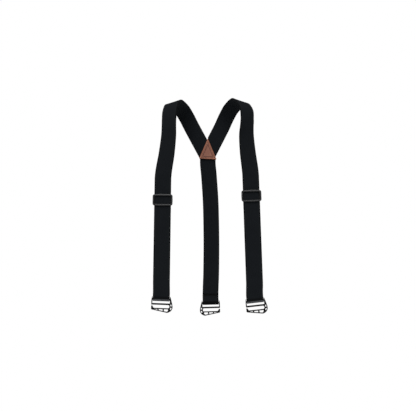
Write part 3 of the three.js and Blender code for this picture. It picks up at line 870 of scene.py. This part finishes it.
# how deep the leather's face lies below its highest plane, by distance from the cut edge
FACE_DEPTH = [(0.0, 0.62), (0.12, 0.36), (0.35, 0.17), (0.7, 0.06), (1.2, 0.03), (1.8, 0.08),
              (2.3, 0.2), (2.7, 0.3), (3.0, 0.32), (3.3, 0.3), (3.7, 0.2), (4.2, 0.09), (4.8, 0.05),
              (5.15, 0.08), (5.4, 0.38), (5.65, 0.5), (5.9, 0.38), (6.15, 0.08), (6.6, 0.03),
              (7.8, 0.0), (9.2, 0.0), (10.6, 0.02), (12.0, 0.03)]
print("the pressed line is", max(depth for inset, depth in FACE_DEPTH if inset > 1), "mm deep")

# %% patch mesh
def leather_mesh(face_plane, inward):
    """A patch whose face is at y = face_plane; inward is +1 where the leather lies beyond it."""
    levels = [(0.6, PATCH_THICKNESS), (0.15, PATCH_THICKNESS - 0.12), (0.0, PATCH_THICKNESS - 0.5)]
    levels += FACE_DEPTH
    vertices, insets, faces = [], [], []
    for level, (inset, depth) in enumerate(levels):
        ring = rounded_outline(patch_corners(inset, max(2.2 - 0.12 * inset, 0.9)), 5, 36)
        travelled = 0.0
        for k, point in enumerate(ring):
            travelled += (point - ring[k - 1]).length if k else 0.0
            beside = max(0.0, 1 - abs(inset - STITCH_INSET) / 1.6)
            pucker = 0.09 * beside * math.cos(math.tau * travelled / STITCH_PITCH)
            vertices.append(Vector((point.x, face_plane + inward * (depth + pucker), point.y)) * MM)
            insets.append(inset)
        count = len(ring)
        if level:
            start = (level - 1) * count
            faces += [(start + k, start + (k + 1) % count, start + (k + 1) % count + count,
                       start + k + count) for k in range(count)]
    faces += [list(range(count)), list(range(len(vertices) - count, len(vertices)))]
    mesh = bpy.data.meshes.new("leather")
    mesh.from_pydata(vertices, [], faces)
    inset_map = mesh.uv_layers.new(name="inset")
    for loop in mesh.loops:
        inset_map.uv[loop.index].vector = (insets[loop.vertex_index], 0.0)
    shape = bmesh.new()
    shape.from_mesh(mesh)
    bmesh.ops.triangulate(shape, faces=[face for face in shape.faces if len(face.verts) > 4])
    shape.to_mesh(mesh)
    shape.free()
    return mesh


print("points round the patch:", len(rounded_outline(patch_corners(0, 2.2), 5, 36)))

# %% front and rear patches
FRONT_FACE = STRAP_PLANE - WEB_THICKNESS / 2 - GAP - PATCH_THICKNESS
REAR_FACE = ANCHOR_PLANE + WEB_THICKNESS / 2 + GAP + PATCH_THICKNESS
seam_path = [Vector(corner[:2]) for corner in patch_corners(STITCH_INSET, 1)]
for name, face, inward in (("front", FRONT_FACE, 1), ("rear", REAR_FACE, -1)):
    patch = add_piece(f"{name}_leather_patch", leather_mesh(face, inward), leather, "leather",
                      f"{name}_patch")
    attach(patch, "yoke")
    seam = stitch_mesh(Matrix.Identity(4), seam_path, face + inward * 0.12, STITCH_PITCH, 2.6, 1.0,
                       0.75, 34 * inward)
    seam = add_piece(f"{name}_leather_stitches", seam, brown_thread, "leather_thread",
                     f"{name}_patch_stitching")
    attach(seam, "yoke")

# %% [markdown]
# ## Shoulder and front straps
#
# Each front strap is one length of webbing. It starts under the leather, arches over the shoulder,
# hangs down the chest, passes behind the adjuster's frame, folds round the hook's bar and climbs
# again behind itself to the adjuster's centre bar. Each length is drawn as frames and swept.

# %% where one side's webbing runs
def laid_out(side, plan):
    """The axes and the known frames of one side."""
    inward = plan["inward"]
    top, foot = Vector(plan["top"]), Vector(plan["foot"])
    upward = (top - foot).normalized()
    strap = axes_at(foot, upward)
    hook_axes = (strap @ Matrix.Translation((0, FOLD_RADIUS, 0))
                 @ Matrix.Rotation(-math.radians(plan["hook_tilt"]), 4, "Y"))
    pivot, above, last = [Vector(plan["arch"][k][:3]) for k in (0, 1, -1)]
    spine = Vector(plan["spine"])
    rise, fall = (above - top).normalized(), (spine - last).normalized()
    arch = frames_along(plan["arch"], inward, rise, fall, 11)
    beyond = shifted(arch[-1], (spine - last).length + WEB_WIDTH)
    chest = frames_along([(*top, 0, 0), plan["arch"][0]], inward, upward, rise, 16)
    back_leg = path_in(hook_axes, [(FOLD_RADIUS, FOLD_LEG, 0, 1)], inward)[0]
    return SimpleNamespace(
        side=side, inward=inward, top=top, upward=upward, strap=strap, hook_axes=hook_axes,
        pivot=pivot, rise=rise, arch=arch, beyond=beyond, chest=chest, back_leg=back_leg,
        adjuster_up=plan["adjuster_up"])


layouts = [laid_out(side, plan) for side, plan in SIDES.items()]
for run in layouts:
    print(run.side, "strap hangs", round((run.top - run.strap.translation).length, 1), "mm below its top")

# %% over the shoulder
def shoulder_webbing(run):
    mesh, _ = strip_mesh([*run.chest[CHEST_HINGE_STEP:], *run.arch[1:],
                          *straight(run.arch[-1], run.beyond), run.beyond])
    cut_away(mesh, (PATCH_BASE.x - run.inward * GAP / 2, 0, 0), (run.inward, 0, 0), 20.0)
    cut_away(mesh, (0, 0, PATCH_BASE.y + 2.5), (0, 0, -1), 20.0)
    shoulder = add_piece(f"{run.side}_shoulder_webbing", mesh, webbing, "webbing",
                         f"{run.side}_shoulder_strap")
    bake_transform(shoulder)


# %% down the chest and round the hook's bar
def front_webbing(run):
    """The front layer, and the length reached on the tape."""
    level = run.strap.to_3x3() @ Vector((run.inward, 0, 0))
    loop_top = squared(run.strap @ Vector((0, 0, LOOP_HEIGHT)), -run.upward, level)
    front_leg = path_in(run.hook_axes, [(-FOLD_RADIUS, FOLD_LEG, 0, -1)], run.inward)[0]
    fold = path_in(run.hook_axes, half_turn(0, 0, FOLD_RADIUS, 180, 1, 18), run.inward)
    down = [turned_back(item) for item in run.chest[CHEST_HINGE_STEP::-1]]

    # painted light round the fold: a painted highlight under the bar, and painted shade on both layers
    # just above it, fading out 8 mm up
    def edge_wear_and_painted_fold_light(point):
        height = (run.hook_axes.inverted() @ point).z
        return eased(height, 0.3, -0.7) - 0.7 * eased(height, 0.3, 1.2) * eased(height, 8, 4)

    mesh, length = strip_mesh([
        *down, *straight(down[-1], loop_top), *bridge(loop_top, front_leg, 14),
        *straight(front_leg, fold[0], 1.0), *fold, *straight(fold[-1], run.back_leg), run.back_leg],
        0.0, -1, edge_wear_and_painted_fold_light)
    front = add_piece(f"{run.side}_front_webbing", mesh, webbing, "webbing",
                      f"{run.side}_front_strap", f"{run.side}_loop_front", f"{run.side}_hook_loop")
    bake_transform(front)
    return length


print("the front layer leaves its straight line", LOOP_HEIGHT, "mm above a hook's bar")

# %% the returning layer, sewn round the centre bar
def tail_webbing(run, length):
    strap, up = run.strap, run.adjuster_up
    joined = path_in(strap, [(LAYER_PITCH, TURN_HEIGHT, 0, 1)], run.inward)[0]
    over = path_in(strap, half_turn(CENTRE_BAR_Y, up, TAIL_FOLD_RADIUS, 180, -1, 14), run.inward)
    tab_top, tab_end = path_in(strap, [(2 * LAYER_PITCH, up - TAB_JOIN, 0, -1),
                                       (2 * LAYER_PITCH, up - TAB_LENGTH, 0, -1)], run.inward)
    mesh, _ = strip_mesh([
        *bridge(run.back_leg, joined, 12), *straight(joined, over[0]), *over,
        *bridge(over[-1], tab_top, 5)[1:], *straight(tab_top, tab_end), tab_end], length, -1)
    tail = add_piece(f"{run.side}_tail_webbing", mesh, webbing, "webbing", f"{run.side}_tail")
    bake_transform(tail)

    sewn = [Vector((x, up - 20 + z)) for x, z in ((-14.6, 5.1), (-14.6, -5.1), (14.6, -5.1),
                                                  (14.6, 5.1))]
    stitches = add_piece(f"{run.side}_tail_stitches", stitch_mesh(
        strap, sewn, 2 * LAYER_PITCH + WEB_THICKNESS / 2 + 0.05, 2.6, 2.1, 0.6, 0.5, 12),
        black_thread, "thread", f"{run.side}_tail_stitching")
    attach(stitches, f"{run.side}_adjuster")


print("the sewn end lies flat for", TAB_LENGTH - TAB_JOIN, "mm")

# %% the adjuster and the hook of one side
def fittings(run):
    place = run.strap @ Matrix.Translation((0, 0, run.adjuster_up))
    adjuster = add_piece(f"{run.side}_adjuster_moulding", adjuster_mesh(place), adjuster_plastic,
                         "adjuster_plastic", f"{run.side}_adjuster")
    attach(adjuster, f"{run.side}_adjuster")
    hook = add_piece(f"{run.side}_hook_moulding", hook_mesh(run.hook_axes), hook_plastic,
                     "hook_plastic", f"{run.side}_hook")
    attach(hook, f"{run.side}_hook")


print("adjusters above their hooks' bars:", [run.adjuster_up for run in layouts], "mm")

# %% both sides
for run in layouts:
    shoulder_webbing(run)
    tape_length = front_webbing(run)
    tail_webbing(run, tape_length)
    fittings(run)

# %% [markdown]
# ## The back strap
#
# The back strap is sewn in behind the two shoulder straps. Its end folds forwards round its hook's
# bar, and about 20 mm above the fold a short tab is sewn down on the front, so the
# raised cut end of the tab shows as a line across the strap. Painted shade darkens the strap round
# the fold and in a band along that cut end.

# %% where the back strap runs
back_top = Vector((PATCH_BASE.x, ANCHOR_PLANE, PATCH_BASE.y - BACK_DROP))
down, level = Vector((0, 0, -1)), Vector((1, 0, 0))
back_axes = axes_at(BACK_HOOK_BAR, Vector(BACK_STATIONS[-1][:3]) - BACK_HOOK_BAR, BACK_HOOK_TILT)
back_leg = path_in(back_axes, [(FOLD_RADIUS, FOLD_LEG, 0, -1)])[0]
spine_run = frames_along([(*back_top, 0, 0), *BACK_STATIONS, (*back_leg[0], 0, 0)], 1, down,
                         back_leg[1], 12)
spine_run[-1] = back_leg
anchor_top = squared(back_top + Vector((0, 0, PATCH_HEIGHT + 2)), down, level)
fold = path_in(back_axes, half_turn(0, 0, FOLD_RADIUS, 0, -1, 18))
tab_plane = FOLD_RADIUS - LAYER_PITCH
tab_join, tab_end = path_in(back_axes, [(tab_plane, 14, 0, 1), (tab_plane, 20, 0, 1)])
print("frames down the spine:", len(spine_run))

# %% back webbing
# painted shade: darkens the back strap round its fold and in a band along the tab's cut end
def painted_back_shade(point):
    height = (back_axes.inverted() @ point).z
    return -max(eased(height, 5, 3), eased(height, 17, 18) * eased(height, 22, 21))


mesh, _ = strip_mesh([
    anchor_top, *straight(anchor_top, spine_run[0]), *spine_run, *straight(back_leg, fold[0]),
    *fold, *bridge(fold[-1], tab_join, 8)[1:], *straight(tab_join, tab_end, 1.0), tab_end],
    painted_light_at=painted_back_shade)
peak, left_low, right_low = [Vector(corner[:2]) for corner in patch_corners(1.2, 1)]
for low, outward in ((left_low, -1), (right_low, 1)):
    slope = (low - peak).normalized()
    cut_away(mesh, (peak.x, 0, peak.y), (-slope.y * outward, 0, slope.x * outward))
back = add_piece("back_webbing", mesh, webbing, "webbing", "back_strap_anchor", "back_strap")
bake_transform(back)

# %% back stitching and hook
sewn = [Vector((x, 16.5 + z)) for x, z in ((-15.6, 2.4), (-15.6, -2.4), (15.6, -2.4), (15.6, 2.4))]
stitches = add_piece("back_tab_stitches", stitch_mesh(
    back_axes, sewn, tab_plane - WEB_THICKNESS / 2 - 0.05, 2.6, 2.1, 0.6, 0.5, -12), black_thread,
    "thread", "back_tab_stitching")
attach(stitches, "back_strap")
hook = add_piece("back_hook_moulding", hook_mesh(back_axes @ Matrix.Rotation(math.pi, 4, "Z")),
                 hook_plastic, "hook_plastic", "back_hook")
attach(hook, "back_hook")

# %% [markdown]
# ## Floor, light and camera
#
# The braces hang as they would from two shoulders, well above a pale floor. One broad soft source
# high in front does most of the work, as a large softbox would: it catches the upper edges of the
# plastic and leaves the undersides of the arches nearly black. The white surround fills the
# shadows weakly, and is at full strength only where it is seen directly.

# %% floor
FLOOR_HALF, FLOOR_HEIGHT = 1.6, -0.95
floor_mesh = bpy.data.meshes.new("floor")
floor_mesh.from_pydata([(x * FLOOR_HALF, y * FLOOR_HALF, FLOOR_HEIGHT)
                        for x, y in ((-1, -1), (1, -1), (1, 1), (-1, 1))], [], [(0, 1, 2, 3)])
floor = bpy.data.objects.new("floor", floor_mesh)
bpy.context.scene.collection.objects.link(floor)
paint = Finish("floor_paint", Roughness=0.9, Specular_IOR_Level=0.0)
speckle = paint.noise(paint.object_place(), 12.0, 2.0)
paint.feed("Base Color", paint.mix(speckle, (0.93, 0.93, 0.93), (0.97, 0.97, 0.97)))
floor_mesh.materials.append(paint.material)
floor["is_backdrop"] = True
print("floor", -FLOOR_HEIGHT, "m below the shoulders")

# %% light
def soft_sun(name, strength, spread, elevation, turn):
    lamp = bpy.data.lights.new(name, "SUN")
    lamp.energy, lamp.angle = strength, math.radians(spread)
    holder = bpy.data.objects.new(name, lamp)
    holder.rotation_euler = (math.radians(90 - elevation), 0, math.radians(turn))
    bpy.context.scene.collection.objects.link(holder)


soft_sun("key", 4.1, 50, 50, -12)
print("lamps:", [lamp.name for lamp in bpy.data.lights])

# %% surround
world = bpy.data.worlds.new("surround")
bpy.context.scene.world = world
world.use_nodes = True
surround, white = Nodes(world.node_tree), (1, 1, 1, 1)
fill = surround.node("ShaderNodeBackground", {}, {"Color": white, "Strength": 0.2})
seen = surround.node("ShaderNodeBackground", {}, {"Color": white, "Strength": 1.0})
directly = surround.node("ShaderNodeLightPath", {}, {}, "Is Camera Ray")
chosen = surround.node("ShaderNodeMixShader", {}, {0: directly, 1: fill, 2: seen})
surround.tree.links.new(chosen.socket, surround.tree.nodes["World Output"].inputs[0])
surround.tree.nodes.remove(surround.tree.nodes["Background"])
bpy.context.scene.view_settings.view_transform = "Standard"
print("surround:", len(surround.tree.nodes), "nodes")

# %% camera
camera_data = bpy.data.cameras.new("camera")
camera_data.lens, camera_data.sensor_width = 75.46, 36.0
camera_data.clip_end = 50.0
camera = bpy.data.objects.new("camera", camera_data)
camera.location = Vector((1.2, -2042.2, -428.5)) * MM
camera.rotation_euler = (math.radians(95), 0, 0)
bpy.context.scene.collection.objects.link(camera)
bpy.context.scene.camera = camera
print("camera", round(camera.location.length, 3), "m from the shoulders")

# %% compare the boxes and finish
visual_box = [list(corner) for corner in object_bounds()]
for axis, letter in enumerate("XYZ"):
    cad, visual = [box[1][axis] - box[0][axis] for box in (cad_box, visual_box)]
    print(f"{letter}: CAD {cad * 1000:.1f} mm, visual {visual * 1000:.1f} mm")
